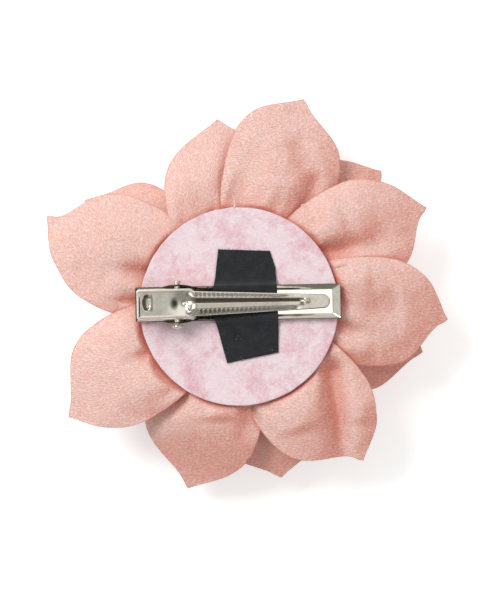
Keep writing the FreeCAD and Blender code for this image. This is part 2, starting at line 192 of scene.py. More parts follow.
class Shader:
    """A node material under construction: short calls that add one node and link its inputs."""

    def __init__(self, name):
        self.material = bpy.data.materials.new(name)
        self.material.use_nodes = True
        self.tree = self.material.node_tree
        self.bsdf = self.tree.nodes["Principled BSDF"]

    def node(self, kind, inputs=None, **settings):
        """Adds a node, fills its inputs with values or links, and sets its options."""
        made = self.tree.nodes.new(kind)
        for key, value in settings.items():
            setattr(made, key, value)
        for key, value in (inputs or {}).items():
            self.feed(made.inputs[key], value)
        return made

    def feed(self, socket, value):
        """Links an output to an input, or sets the input to a plain value."""
        if isinstance(value, bpy.types.NodeSocket):
            self.tree.links.new(value, socket)
        else:
            socket.default_value = value

    def coordinates(self, scale=(1, 1, 1)):
        """Places in space, one unit to a millimetre, stretched by scale."""
        source = self.node("ShaderNodeTexCoord").outputs["Object"]
        factor = [part / MM for part in scale]
        return self.node("ShaderNodeMapping", {"Vector": source, "Scale": factor}).outputs["Vector"]

    def cloth(self, scale=(1, 1, 1)):
        """Places on the cloth itself, one unit to a millimetre, stretched by scale."""
        source = self.node("ShaderNodeUVMap", uv_map="cloth").outputs["UV"]
        return self.node("ShaderNodeMapping", {"Vector": source, "Scale": scale}).outputs["Vector"]

    def noise(self, vector, scale, detail=3.0, roughness=0.55, distortion=0.0):
        """Cloudy noise between 0 and 1."""
        made = self.node("ShaderNodeTexNoise", {"Vector": vector, "Scale": scale, "Detail": detail,
                                                "Roughness": roughness, "Distortion": distortion})
        return made.outputs["Fac"]

    def weave(self, vector, across, along, settings):
        """Crossing threads: the product of two sets of bands with the scales across and along."""
        bands = []
        for scale, direction in ((across, "X"), (along, "Y")):
            inputs = {"Vector": vector, "Scale": scale, **settings}
            bands.append(self.node("ShaderNodeTexWave", inputs, bands_direction=direction).outputs["Fac"])
        return self.maths("MULTIPLY", *bands)

    def ramp(self, factor, low, high, start=0.0, end=1.0):
        """A grey that runs from start to end while the factor runs from low to high."""
        made = self.node("ShaderNodeValToRGB", {"Fac": factor})
        for stop, place, grey in zip(made.color_ramp.elements, (low, high), (start, end)):
            stop.position = place
            stop.color = (grey, grey, grey, 1)
        return made.outputs["Color"]

    def mix(self, factor, first, second):
        """The first colour where the factor is 0 and the second where it is 1."""
        made = self.node("ShaderNodeMix", data_type="RGBA")
        self.feed(made.inputs["Factor"], factor)
        self.feed(made.inputs[COLOR_A], first)
        self.feed(made.inputs[COLOR_B], second)
        return made.outputs[COLOR_RESULT]

    def maths(self, operation, first, second):
        made = self.node("ShaderNodeMath", operation=operation)
        self.feed(made.inputs[0], first)
        self.feed(made.inputs[1], second)
        return made.outputs[0]

    def value(self, name):
        """A number stored per vertex."""
        return self.node("ShaderNodeAttribute", attribute_name=name).outputs["Fac"]

    def bump(self, height, strength, distance, below=None):
        """A surface raised by height times distance, in millimetres, over another bump if one is given."""
        inputs = {"Height": height, "Strength": strength, "Distance": distance * MM}
        if below is not None:
            inputs["Normal"] = below
        return self.node("ShaderNodeBump", inputs).outputs["Normal"]

    def finish(self, **inputs):
        """Fills the surface shader's inputs and returns the material."""
        names = {"color": "Base Color", "roughness": "Roughness", "metallic": "Metallic", "normal": "Normal",
                 "sheen": "Sheen Weight", "sheen_roughness": "Sheen Roughness", "sheen_tint": "Sheen Tint",
                 "subsurface": "Subsurface Weight", "radius": "Subsurface Radius",
                 "reach": "Subsurface Scale", "specular": "Specular IOR Level"}
        for key, value in inputs.items():
            self.feed(self.bsdf.inputs[names[key]], value)
        return self.material


def petal_material(name, light, turned, crevice_shade_and_edge, glint):
    """Crepe-backed satin: fine short ripples, a soft sheen and redder cut edges, with painted shade, redder
    and darker, where it turns from the window, in folds, in crevices and in ripple troughs, and a painted
    highlight on the ripple crests.
    """
    shader = Shader(name)
    spot = shader.cloth()
    cloth = shader.cloth((0.55, 1.20, 1.0))
    ripple = shader.noise(cloth, 2.7, 1.0, 0.5, 0.8)
    grain = shader.noise(cloth, 4.6, 2.0, 0.6)
    patch = shader.noise(spot, 0.12, 2.0)
    # The second colour is a painted shade, the third a deeper painted shade that is also the cut edges' own
    # colour, and the fourth a painted highlight.
    tone = shader.mix(shader.ramp(patch, 0.3, 0.7), light, shader.mix(0.16, light, turned))
    # Painted shade: redder and darker where the cloth turns away from the window.
    tone = shader.mix(shader.maths("MULTIPLY", shader.value("turned"), 0.9), tone, turned)
    # Painted shade in the ripples' troughs and a painted highlight on their crests.
    tone = shader.mix(shader.ramp(ripple, 0.38, 0.54, 0.26, 0.0), tone, crevice_shade_and_edge)
    tone = shader.mix(shader.ramp(ripple, 0.52, 0.66, 0.0, 0.42), tone, glint)
    # Painted shade in the folds and gathers.
    tone = shader.mix(shader.maths("MULTIPLY", shader.value("painted_fold_shade"), 0.5), tone, crevice_shade_and_edge)
    # Painted shade where other cloth closes round the surface.
    open_sky = shader.node("ShaderNodeAmbientOcclusion", {"Distance": 5 * MM}, samples=6).outputs["AO"]
    tone = shader.mix(shader.ramp(open_sky, 0.25, 0.92, 0.95, 0.0), tone, crevice_shade_and_edge)
    # The cut edges' own deeper colour.
    tone = shader.mix(shader.value("rim"), tone, crevice_shade_and_edge)
    normal = shader.bump(grain, 0.4, 0.08)
    normal = shader.bump(ripple, 1.0, 0.36, normal)
    return shader.finish(color=tone, roughness=0.5, sheen=0.05, sheen_roughness=0.4,
                         sheen_tint=rgb(255, 226, 216), normal=normal, specular=0.3,
                         subsurface=0.2, radius=(1.0, 0.25, 0.15), reach=0.5 * MM)


def felt_material():
    """Pressed felt: pale pink with cloudy rose patches, matted curly fibres and a soft, uneven surface."""
    shader = Shader("felt")
    spot = shader.coordinates()
    patch = shader.noise(spot, 0.10, 5.0, 0.60, 0.3)
    small = shader.noise(spot, 0.50, 5.0, 0.68, 0.5)
    blend = shader.maths("ADD", shader.maths("MULTIPLY", patch, 0.62), shader.maths("MULTIPLY", small, 0.38))
    tone = shader.mix(shader.ramp(blend, 0.46, 0.64), rgb(231, 211, 218), rgb(214, 156, 167))
    curly = shader.noise(spot, 1.6, 4.0, 0.62, 2.2)
    matted = shader.noise(spot, 3.8, 3.0, 0.6, 1.4)
    fibres = shader.maths("ADD", curly, shader.maths("MULTIPLY", matted, 0.5))
    tone = shader.mix(shader.ramp(fibres, 0.74, 0.96, 0.0, 0.6), tone,
                      rgb(246, 236, 242))
    tone = shader.mix(shader.ramp(fibres, 0.52, 0.70, 0.30, 0.0), tone,
                      rgb(212, 172, 184))
    normal = shader.bump(fibres, 0.70, 0.24)
    normal = shader.bump(small, 0.5, 0.6, normal)
    return shader.finish(color=tone, roughness=0.95, sheen=0.4, sheen_roughness=0.6,
                         sheen_tint=rgb(255, 240, 246), normal=normal, specular=0.15)


def ribbon_material():
    """Black plain-woven ribbon: crossing threads, dull sheen and a few specks of lint."""
    shader = Shader("black_ribbon")
    cloth = shader.cloth()
    weave = shader.weave(cloth, 1.15, 0.8, {"Distortion": 0.6, "Detail": 1.0, "Detail Scale": 2.0})
    wear = shader.noise(cloth, 0.35, 4.0, 0.65)
    tone = shader.mix(shader.ramp(wear, 0.35, 0.75), rgb(24, 25, 27), rgb(40, 42, 45))
    tone = shader.mix(shader.ramp(weave, 0.1, 0.9, 0.0, 0.3), tone, rgb(54, 57, 61))
    lint = shader.noise(cloth, 3.1, 2.0, 0.5, 1.5)
    tone = shader.mix(shader.ramp(lint, 0.735, 0.78), tone, rgb(150, 152, 156))
    normal = shader.bump(weave, 0.6, 0.12)
    return shader.finish(color=tone, roughness=0.85, sheen=0.25, sheen_roughness=0.5, normal=normal,
                         specular=0.25)


def nickel_material(name, light, dark, roughness):
    """Nickel-plated pressed steel: warm mirror with rolling lines, slight unevenness, dark cut edges and
    painted shade where a piece marks it.
    """
    shader = Shader(name)
    spot = shader.coordinates()
    lines = shader.noise(shader.coordinates((0.10, 2.0, 2.0)), 2.4, 3.0, 0.6, 0.2)
    stain = shader.noise(spot, 0.45, 3.0, 0.6)
    edge_and_painted_shade = shader.value("rim")
    tone = shader.mix(shader.ramp(stain, 0.35, 0.7), light, dark)
    # The rim value darkens the cut edges, their own colour, and on the lever it also paints shade into the
    # slot, the groove and the gaps between the teeth.
    tone = shader.mix(edge_and_painted_shade, tone, rgb(70, 62, 56))
    rough = shader.ramp(lines, 0.3, 0.75, roughness * 0.6, roughness * 1.5)
    rough = shader.mix(edge_and_painted_shade, rough, (0.5, 0.5, 0.5, 1))
    peel = shader.noise(spot, 1.3, 2.0, 0.5)
    normal = shader.bump(peel, 0.12, 0.05)
    normal = shader.bump(lines, 0.10, 0.02, normal)
    return shader.finish(color=tone, roughness=rough, metallic=1.0, normal=normal)


def glue_material():
    """Set hot glue: cloudy, off-white and a little translucent."""
    shader = Shader("hot_glue")
    cloud = shader.noise(shader.coordinates(), 1.4, 3.0)
    tone = shader.mix(shader.ramp(cloud, 0.3, 0.7), rgb(236, 226, 214), rgb(212, 196, 180))
    return shader.finish(color=tone, roughness=0.35, subsurface=0.3, radius=(0.8, 0.7, 0.6), reach=0.6 * MM,
                         normal=shader.bump(cloud, 0.3, 0.2))


def backing_material():
    """Stiffened woven cloth behind the petals."""
    shader = Shader("stiff_backing")
    weave = shader.weave(shader.coordinates(), 0.9, 0.9, {"Distortion": 0.4})
    tone = shader.mix(weave, rgb(196, 134, 118), rgb(222, 164, 148))
    return shader.finish(color=tone, roughness=0.9, normal=shader.bump(weave, 0.5, 0.15))


# Colours of each petal cloth: its own colour, a painted shade, a deeper painted shade that is also the cut
# edges' colour, and a painted highlight.
PETAL = petal_material("petal_crepe", rgb(231, 197, 189), rgb(228, 158, 143), rgb(206, 104, 82),
                       rgb(246, 222, 214))
INNER_PETAL = petal_material("petal_crepe_deep", rgb(234, 194, 183), rgb(228, 156, 140), rgb(204, 100, 80),
                             rgb(238, 204, 194))
FELT = felt_material()
RIBBON = ribbon_material()
NICKEL = nickel_material("nickel", rgb(234, 228, 219), rgb(222, 213, 199), 0.11)
SPRING = nickel_material("spring_steel", rgb(176, 172, 166), rgb(150, 146, 140), 0.26)
GLUE = glue_material()
BACKING = backing_material()


# ---------------------------------------------------------------- petals

felt_low, felt_high = box("felt_disc")
FLOWER = Vector(((felt_low.x + felt_high.x) / 2, (felt_low.y + felt_high.y) / 2, 0))
FELT_RADIUS = (felt_high.x - felt_low.x) / 2
FELT_TOP, FELT_UNDER = felt_high.z, felt_low.z

# Half width along a petal as a share of its greatest half width, from root to tip: full and round in the
# outer half, then drawn in to a small pointed tip.
OUTLINE_ALONG = (0.0, 0.12, 0.28, 0.45, 0.60, 0.71, 0.79, 0.845, 0.896, 0.94, 0.97, 1.0)
OUTLINE_SHARE = (0.28, 0.60, 0.87, 0.98, 1.0, 0.95, 0.83, 0.67, 0.46, 0.25, 0.12, 0.0)


def outline_share(along):
    """The petal's outline as a smooth curve through its few points."""
    slopes = np.gradient(OUTLINE_SHARE, OUTLINE_ALONG)
    index = np.clip(np.searchsorted(OUTLINE_ALONG, along, "right") - 1, 0, len(OUTLINE_ALONG) - 2)
    start = np.take(OUTLINE_ALONG, index)
    span = np.take(OUTLINE_ALONG, index + 1) - start
    step = (along - start) / span
    return ((2 * step**3 - 3 * step**2 + 1) * np.take(OUTLINE_SHARE, index)
            + (step**3 - 2 * step**2 + step) * span * np.take(slopes, index)
            + (3 * step**2 - 2 * step**3) * np.take(OUTLINE_SHARE, index + 1)
            + (step**3 - step**2) * span * np.take(slopes, index + 1))


def spine(node):
    """A CAD petal's direction, its reach from root to tip, and its height as a curve over out and side."""
    points = np.array([vertex.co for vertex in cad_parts[node].data.vertices]) / MM
    points -= np.array(FLOWER)
    reach = np.hypot(points[:, 0], points[:, 1])
    tip = points[reach > reach.max() - 0.35].mean(axis=0)
    direction = math.atan2(tip[1], tip[0])
    out = points[:, 0] * math.cos(direction) + points[:, 1] * math.sin(direction)
    side = -points[:, 0] * math.sin(direction) + points[:, 1] * math.cos(direction)
    root, end = out.min(), reach.max()
    columns = [np.ones_like(out), out, out**2, side, side**2, side * out]
    fit = np.linalg.lstsq(np.stack(columns, axis=1), points[:, 2], rcond=None)[0]
    return direction, root, end, fit


def ruffle(across, along, seed, scale_across, scale_along=None):
    """Soft unevenness of a cloth surface, about -1 to 1."""
    scale_along = scale_along or scale_across
    values = [noise.noise(Vector((x * scale_across, y * scale_along, seed * 7.31)))
              for x, y in zip(across.ravel(), along.ravel())]
    return np.array(values).reshape(across.shape)


def dent(out, across, start, end, width):
    """1 along the line from start to end, given as (out, across), fading to 0 within about its width."""
    run = np.array(end, float) - np.array(start, float)
    length = max(float(run @ run), 1e-6)
    along = np.clip(((out - start[0]) * run[0] + (across - start[1]) * run[1]) / length, 0, 1)
    gap = np.hypot(out - start[0] - along * run[0], across - start[1] - along * run[1])
    return bell(gap, 0, width) * (1 - 0.75 * smooth(0.35, 1.0, along))


# How each petal is shaped, in millimetres, and how each outer petal differs from an even one. ccw and cw are
# its half widths on the two sides as seen from the clip. belly moves the widest place toward the root on each
# side. hook bends the tip sideways, nod drops the outer part, crown arches the middle up and droop turns the
# sides down. lift raises the whole petal and gather is the depth of the small pleats at the felt. thick is
# the cloth's thickness and grain turns the cloth, in degrees. folds are (start, end, width, depth), with
# places as (out, across) from the middle of the flower. A negative depth is a swelling.
EVEN = {"ccw": 16.0, "cw": 16.0, "belly": (0.0, 0.0), "hook": 1.4, "nod": 0.0, "crown": 1.6, "droop": 1.4,
        "grain": 0.0, "lift": 0.0, "folds": (), "thick": 0.35, "gather": 0.55}
OUTER = {
    1: {"ccw": 16.4, "cw": 14.0, "belly": (0.04, 0.0), "hook": 0.6, "crown": 1.2, "grain": 60, "folds": (
        ((28, -2), (44, -4), 4.0, 1.2), ((26, 5), (33, 8), 2.2, 0.8), ((32, 10), (38, 9), 5.0, -0.7))},
    2: {"ccw": 15.4, "cw": 15.6, "belly": (-0.07, 0.0), "hook": 0.9, "crown": 1.4, "grain": -6, "folds": (
        ((27, 8.5), (38, 9), 3.4, 1.1), ((38, 9), (44, 3), 4.2, 0.6), ((45, -3), (38, -9.5), 3.2, 1.1),
        ((38, -9.5), (25, -8), 2.6, 1.6), ((32, 0), (37, 1), 5.5, -1.0))},
    3: {"ccw": 16.8, "cw": 12.6, "belly": (0.01, 0.03), "crown": 1.5, "grain": 25, "folds": (
        ((32, 9), (37, 9), 5.5, -1.2), ((41, -1), (47, 0), 5.2, 1.3), ((25, 2.6), (40, -2.0), 2.5, 2.7),
        ((28, -2), (38, -6), 1.6, -1.0), ((26, 10), (30, 12), 2.0, 0.7))},
    4: {"ccw": 15.6, "cw": 13.8, "belly": (-0.01, 0.01), "hook": 1.6, "crown": 1.4, "grain": -12, "folds": (
        ((31, 9), (36, 10), 5.0, -1.0), ((39, 2), (45, 3), 5.2, 1.2), ((25, -3), (36, -6.5), 2.0, 1.6),
        ((31, -10), (38, -11), 3.4, -1.1), ((25, 3), (33, 1.5), 1.8, 0.9))},
    5: {"ccw": 14.6, "cw": 16.4, "belly": (0.03, 0.06), "hook": 1.8, "crown": 1.2, "droop": 0.9, "grain": -8,
        "folds": (
        ((29.5, 8.4), (56, -7.5), 3.2, 3.6), ((33, -6), (38, -8), 5.5, -1.5), ((42, 8), (46, 5), 4.0, -1.0),
        ((23, -15), (30, -16), 1.3, 1.2), ((26, 3), (30, 1), 1.6, 0.8))},
    6: {"ccw": 14.6, "cw": 17.4, "belly": (0.02, 0.09), "hook": 0.6, "crown": 1.4, "nod": 7.6, "grain": 20,
        "folds": (
        ((23, -12), (40, -19), 4.8, 5.4), ((28, 2), (32, 3), 5.0, -1.6), ((27, 9), (36, 12), 3.0, 0.8))},
    7: {"ccw": 12.3, "cw": 17.2, "belly": (0.04, 0.03), "hook": 0.9, "crown": 1.3, "nod": 1.8, "lift": 1.0,
        "grain": 14, "folds": (
        ((25, -2.5), (32, -3.3), 1.8, 1.8), ((30, -11), (36, -11), 4.5, -0.9), ((31, 4), (37, 4), 4.0, -1.4),
        ((36, 12), (44, 8), 3.0, 0.6))},
    8: {"ccw": 16.2, "cw": 15.0, "belly": (0.04, 0.06), "hook": 1.9, "crown": 1.2, "grain": -50, "folds": (
        ((25, 2.5), (35, 5.5), 2.4, 2.1), ((26, 11), (32, 13), 1.3, 1.0), ((36, -4), (44, -3), 5.0, -0.7),
        ((27, -8), (36, -9), 3.4, -0.6), ((38, 9), (46, 5), 4.5, 0.8))},
}


def make_petal(node, style, material, rows, columns, seed):
    """A petal of thin cloth in place of its CAD solid, along that solid's own centre line and tilt."""
    look = {**EVEN, **style}
    direction, root, reach, fit = spine(node)
    along = np.linspace(0.0, 1.0, rows) ** 0.92
    spread = np.sin(np.linspace(-1.0, 1.0, columns) * math.pi / 2)
    along, spread = np.meshgrid(along, spread, indexing="ij")
    belly = np.where(spread > 0, look["belly"][0], look["belly"][1])
    share = outline_share(np.clip(along + belly * 4 * along * (1 - along), 0, 1))
    half = np.where(spread > 0, look["ccw"], look["cw"])
    from_tip = (1 - along) * (reach - root)
    across = spread * share * half
    across += look["hook"] * bell(from_tip, 4.6, 3.4) * smooth(0.0, 2.5, from_tip)
    out = root + along * (reach - root)
    width = 0.5 * (look["ccw"] + look["cw"])
    side = across / width
    height = fit[0] + fit[1] * out + fit[2] * out**2 + fit[3] * across + fit[5] * across * out + look["lift"]
    arched = smooth(0.1, 0.45, along) * (1 - smooth(0.6, 1.0, along))
    height += look["crown"] * arched * (1 - np.abs(side) ** 2)
    height -= look["droop"] * np.abs(side) ** 2.4
    height -= look["nod"] * smooth(0.5, 1.05, along) * np.abs(1.2 - 0.5 * side)
    # red gathers painted shade: the material colours the cloth redder and darker in its folds and in the
    # troughs of the gathers at the felt.
    red = np.zeros_like(height)
    for start, end, fold_width, depth in look["folds"]:
        shape = dent(out, across, start, end, fold_width)
        height -= depth * shape
        if depth > 0:
            red += 0.55 * (depth / fold_width) * shape**3
    near_felt = 1 - smooth(FELT_RADIUS, FELT_RADIUS + 11, out)
    gathers = ruffle(across, out, seed + 20, 0.34, 0.05)
    height += look["gather"] * gathers * near_felt
    red += 0.5 * np.clip(-gathers, 0, 1) * near_felt
    height += 0.28 * ruffle(across, out, seed, 0.12) + 0.10 * ruffle(across, out, seed + 40, 0.36)
    height += 0.45 * ruffle(across, out, seed + 80, 0.16) * np.abs(spread) ** 4 * share
    x = FLOWER.x + out * math.cos(direction) - across * math.sin(direction)
    y = FLOWER.y + out * math.sin(direction) + across * math.cos(direction)
    height = under_felt(height, np.hypot(x - FLOWER.x, y - FLOWER.y))
    edge_gap = np.minimum((1 - np.abs(spread)) * share * half, from_tip * 0.9)
    rim = 1 - smooth(0.10, 0.34, edge_gap)
    piece = surface(node + "_cloth", x, y, height, ROOT, material)
    # Painted shade for folds and gathers, and the cut edges' own colour, for the material to read.
    attribute(piece, "painted_fold_shade", np.clip(red, 0, 1))
    attribute(piece, "rim", rim * 0.5)
    turn = math.radians(look["grain"])
    cloth_coordinates(piece, x * math.cos(turn) + y * math.sin(turn) + seed * 13.7,
                      -x * math.sin(turn) + y * math.cos(turn) + seed * 5.1)
    flip_up(piece)
    # Painted shade: how far each point of the cloth turns away from the window, for the material to colour it
    # redder and darker.
    facing = np.array([vertex.normal for vertex in piece.data.vertices]) @ np.array(TO_WINDOW)
    attribute(piece, "turned", smooth(0.0, 0.62, 1 - facing / TO_WINDOW.z))
    thicken(piece, look["thick"])
    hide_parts(node)


def under_felt(height, distance):
    """Presses the cloth below the felt disc and lets it swell up softly just outside the disc's edge."""
    ceiling = FELT_UNDER - 0.45 + 3.2 * smooth(FELT_RADIUS - 0.3, FELT_RADIUS + 3.0, distance)
    softness = 0.35
    return -softness * np.logaddexp(-height / softness, -ceiling / softness)


def make_flower():
    """All petals: the eight outer ones each in its own shape, the rings in front of them evenly."""
    for number, style in OUTER.items():
        make_petal(f"outer_petal_{number}", style, PETAL, 120, 91, number)
    rings = {
        "second": (7, {"ccw": 14.4, "cw": 14.4, "crown": 0.8, "droop": 1.2, "hook": 1.2}),
        "third": (7, {"ccw": 12.4, "cw": 12.4, "crown": 0.5, "droop": 1.4, "hook": 1.0}),
        "inner": (6, {"ccw": 11.2, "cw": 11.2, "crown": 0.0, "droop": 1.8, "hook": 0.8}),
        "heart": (5, {"ccw": 7.4, "cw": 7.4, "crown": 0.0, "droop": 1.6, "hook": 0.4}),
    }
    for ring, (count, style) in rings.items():
        for number in range(1, count + 1):
            seed = number + 10 * len(ring)
            make_petal(f"{ring}_petal_{number}", style, INNER_PETAL, 60, 41, seed)


# ---------------------------------------------------------------- backing and strap

def soft_disc(name, node, material, soft, swell, seed):
    """A thick cloth disc in place of a CAD disc: its edge is rounded by soft and its face uneven by swell."""
    low, high = box(node)
    radius_full = (high.x - low.x) / 2
    middle_x, middle_y = (low.x + high.x) / 2, (low.y + high.y) / 2
    spokes = 240
    profile = [(share * (radius_full - soft), high.z) for share in np.linspace(0.0, 1.0, 60)]
    for step in range(1, 5):
        turn = step / 4 * math.pi / 2
        profile.append((radius_full - soft * (1 - math.sin(turn)), high.z - soft * (1 - math.cos(turn))))
    profile += [(radius_full, high.z + (low.z - high.z) * part) for part in (0.4, 0.6, 0.8, 1.0)]
    profile += [(share * radius_full, low.z) for share in np.linspace(0.96, 0.0, 12)]
    points = []
    for radius, height in profile:
        for spoke in range(spokes):
            turn = spoke / spokes * 2 * math.pi
            rough = noise.noise(Vector((math.cos(turn) * 9, math.sin(turn) * 9, height + seed)))
            radial = radius * (1 - 0.0035 + 0.0035 * rough)
            x, y = radial * math.cos(turn), radial * math.sin(turn)
            uneven = swell * noise.noise(Vector((x * 0.25, y * 0.25, seed)))
            uneven += 0.5 * swell * noise.noise(Vector((x * 0.9, y * 0.9, seed + 5)))
            top = height > high.z - soft
            points.append((middle_x + x, middle_y + y, height + (uneven - 0.8 * swell if top else 0.0)))
    piece = new_piece(name, points, grid_faces(len(profile), spokes, wrap=True), ROOT, material)
    weld(piece)
    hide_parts(node)
    radius = radius_full * MM


def make_backing():
    """Felt disc over the flower's back, and the stiff disc that the petals are gathered on."""
    soft_disc("felt_backing", "felt_disc", FELT, 0.22, 0.10, 3.0)
    soft_disc("stiff_backing", "foundation_disc", BACKING, 0.12, 0.04, 11.0)


def glue_blob(name, node, squareness, lumps):
    """A lump of set glue in place of its CAD solid: round at squareness 2, squarer above it."""
    low, high = box(node)
    middle = (low + high) / 2
    half = (high - low) / 2
    spokes = 96
    profile = [(0.0, 0.0), (0.5, 0.0), (0.9, 0.0), (0.98, 0.12), (1.0, 0.35), (1.0, 0.65), (0.97, 0.88),
               (0.88, 1.0), (0.5, 1.0), (0.0, 1.0)]
    points = []
    for share, up in profile:
        for spoke in range(spokes):
            turn = spoke / spokes * 2 * math.pi
            across, along = math.cos(turn), math.sin(turn)
            corner = (abs(across) ** squareness + abs(along) ** squareness) ** (-1 / squareness)
            wobble = 1 - lumps + lumps * noise.noise(Vector((across * 2, along * 2, up * 3 + lumps)))
            size = share * corner * wobble
            points.append((middle.x + size * across * half.x, middle.y + size * along * half.y,
                           low.z + up * (high.z - low.z)))
    piece = new_piece(name, points, grid_faces(len(profile), spokes, wrap=True), ROOT, GLUE)
    weld(piece)
    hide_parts(node)


def make_glue():
    """A flat bead under the clip and a lumpy plug that joins the petals' roots."""
    glue_blob("clip_glue_bead", "clip_glue", 5, 0.04)
    glue_blob("flower_glue_plug", "flower_glue", 2, 0.10)


def make_bud():
    """Heart of the flower: a strip of petal cloth rolled up from its middle outward."""
    low, high = box("bud_core")
    middle = (low + high) / 2
    radius = (high.x - low.x) / 2 * 0.95
    turns, rows, columns = 3.3, 18, 260
    height, turn = np.meshgrid(np.linspace(0, 1, rows), np.linspace(0, 1, columns), indexing="ij")
    angle = turn * turns * 2 * math.pi
    outward = 0.10 + 0.90 * turn
    flare = 0.80 + 0.20 * np.sin(height * math.pi * 0.62) + 0.05 * smooth(0.85, 1.0, height)
    distance = radius * outward * flare * (1 + 0.03 * ruffle(angle, height * 3, 4, 0.6))
    rim_low = low.z + 5.5 * turn**1.5 + 0.35 * np.sin(angle * 1.7)
    z = high.z - 0.2 + (rim_low - high.z + 0.4) * height
    x = middle.x + distance * np.cos(angle)
    y = middle.y + distance * np.sin(angle)
    piece = surface("rolled_bud", x, y, z, ROOT, INNER_PETAL)
    # Painted shade: deeper down inside the roll, and a little everywhere as on cloth turned from the window;
    # the top edge gets the cut edges' own colour.
    attribute(piece, "painted_fold_shade", 0.7 * (1 - smooth(0.3, 1.0, height)))
    attribute(piece, "rim", 0.5 * smooth(0.95, 1.0, height))
    attribute(piece, "turned", np.full(height.size, 0.3))
    length = float(np.sum(np.hypot(np.diff(x[-1]), np.diff(y[-1]))))
    cloth_coordinates(piece, turn * length, z)
    thicken(piece, 0.32, 0.0)
    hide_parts("bud_core")


def make_strap():
    """Ribbon over the base plate: flat on the felt, up the rims and down into the tray under the lever."""
    low, high = box("ribbon_strap")
    thick, clear, columns = 0.32, 0.08, 48
    over = TRAY_RIM + thick + clear
    floor = thick + clear
    felt = FELT_TOP + thick + 0.03
    stops = [
        (high.y, felt), (high.y - 3, felt), (TRAY_HALF + 1.6, felt + 0.05), (TRAY_HALF + 0.55, felt + 0.9),
        (TRAY_HALF, over), (TRAY_HALF - 0.5, over - 0.12), (TRAY_HALF - 1.5, floor + 0.08), (2.4, floor),
        (0, floor),
    ]
    mirrored = [(-across, up) for across, up in reversed(stops[:-1])]
    mirrored[-1] = (low.y, felt)
    path = resample(stops + mirrored, 130)
    # How far in the ribbon's two long edges lie, at places along it.
    left_places = (low.y, low.y + 0.5, -3.6, 0, 4.0, 6.6, high.y)
    left_in = (2.4, 2.3, -0.9, -1.0, -1.0, -0.4, 0.6)
    right_places = (low.y, -6.2, 3.4, 9.6, high.y - 0.1, high.y)
    right_in = (0.0, 0.2, 0.0, -0.4, -1.7, -1.8)
    points, across_list, along_list = [], [], []
    travelled = 0.0
    for index, (y, z) in enumerate(path):
        if index:
            travelled += math.dist(path[index - 1], (y, z))
        left = low.x + 0.9 + np.interp(y, left_places, left_in)
        right = high.x + np.interp(y, right_places, right_in)
        slant = (0.7 if y > 0 else -2.6) * smooth(6.0, 14.0, abs(y))
        for column in range(columns):
            share = column / (columns - 1)
            x = left + (right - left) * share
            lift = 0.05 * noise.noise(Vector((x * 0.5, y * 0.5, 2.0)))
            points.append((x, y - (share - 0.5) * slant, z + lift))
            across_list.append(x)
            along_list.append(travelled)
    make_frayed_ends(((points[0], points[columns - 1], 1.0), (points[-columns], points[-1], -1.0)))
    faces = grid_faces(len(path), columns)
    piece = new_piece("ribbon_strap_cloth", points, faces, ROOT, RIBBON)
    cloth_coordinates(piece, across_list, along_list)
    flip_up(piece)
    thicken(piece, thick)
    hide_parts("ribbon_strap")


def resample(stops, count):
    """A smooth line through the stops, rounded at each, as evenly spaced points."""
    line = np.array(stops, float)
    for _ in range(3):
        cut = [line[0]]
        for start, end in zip(line[:-1], line[1:]):
            cut += [start * 0.75 + end * 0.25, start * 0.25 + end * 0.75]
        cut.append(line[-1])
        line = np.array(cut)
    gone = np.concatenate([[0], np.cumsum(np.linalg.norm(np.diff(line, axis=0), axis=1))])
    even = np.linspace(0, gone[-1], count)
    return [(np.interp(at, gone, line[:, 0]), np.interp(at, gone, line[:, 1])) for at in even]


# ---------------------------------------------------------------- clip

lever_low, lever_high = box("clip_lever")
PIN_LOW, PIN_HIGH = box("pivot_pin")
PIN = ((PIN_LOW.x + PIN_HIGH.x) / 2, (PIN_LOW.z + PIN_HIGH.z) / 2)
TAIL, TIP_END = lever_low.x, lever_high.x
SHOULDER = -11.7            # where the wide pad ends and the tapering arm begins
KNEE, KNEE_HEIGHT = SHOULDER - 0.4, 4.72
PAD_HALF = 4.1
ARM_ROOT_HALF = 3.35
TIP_RADIUS = 1.85
TIP_MIDDLE = TIP_END - TIP_RADIUS
TOOTH_PITCH = 1.2
TOOTH_START, TOOTH_END = -8.0, 8.8
TRAY_HALF, TRAY_RIM = 4.6, 0.9      # the base plate: half its width and its rims' height


def lever_half_width(x):
    """Half width along the lever: pad with round corners, sloped shoulder, tapering arm, round tip."""
    corner = 0.9
    slope_start, slope_end = SHOULDER - 1.2, SHOULDER + 0.1
    shoulder = PAD_HALF - (x - slope_start) * (PAD_HALF - ARM_ROOT_HALF) / (slope_end - slope_start)
    arm = ARM_ROOT_HALF - (x - slope_end) * (ARM_ROOT_HALF - TIP_RADIUS) / (TIP_MIDDLE - SHOULDER)
    half = np.where(x < slope_end, np.maximum(shoulder, arm), arm)
    half = np.where(x < slope_start, PAD_HALF, half)
    half = np.where(x > TIP_MIDDLE, np.sqrt(np.clip(TIP_RADIUS**2 - (x - TIP_MIDDLE) ** 2, 0, None)), half)
    tail = PAD_HALF - corner + np.sqrt(np.clip(corner**2 - (TAIL + corner - x) ** 2, 0, None))
    return np.where(x < TAIL + corner, tail, half)


def lever_top(x):
    """Height of the lever's upper face before anything is pressed into it."""
    stops = (TAIL - 2.0, TAIL, KNEE, 12.0, TIP_END, TIP_END + 2.0)
    heights = (lever_high.z + 0.35, lever_high.z - 0.15, KNEE_HEIGHT, 1.65, 0.60, 0.40)
    softened = (-1.2, -0.6, 0.0, 0.6, 1.2)
    return sum(np.interp(x + shift, stops, heights) for shift in softened) / len(softened)


def between(value, low, high, soft):
    """1 between low and high, fading to 0 over soft on either side."""
    return smooth(low - soft, low + soft, value) * (1 - smooth(high - soft, high + soft, value))


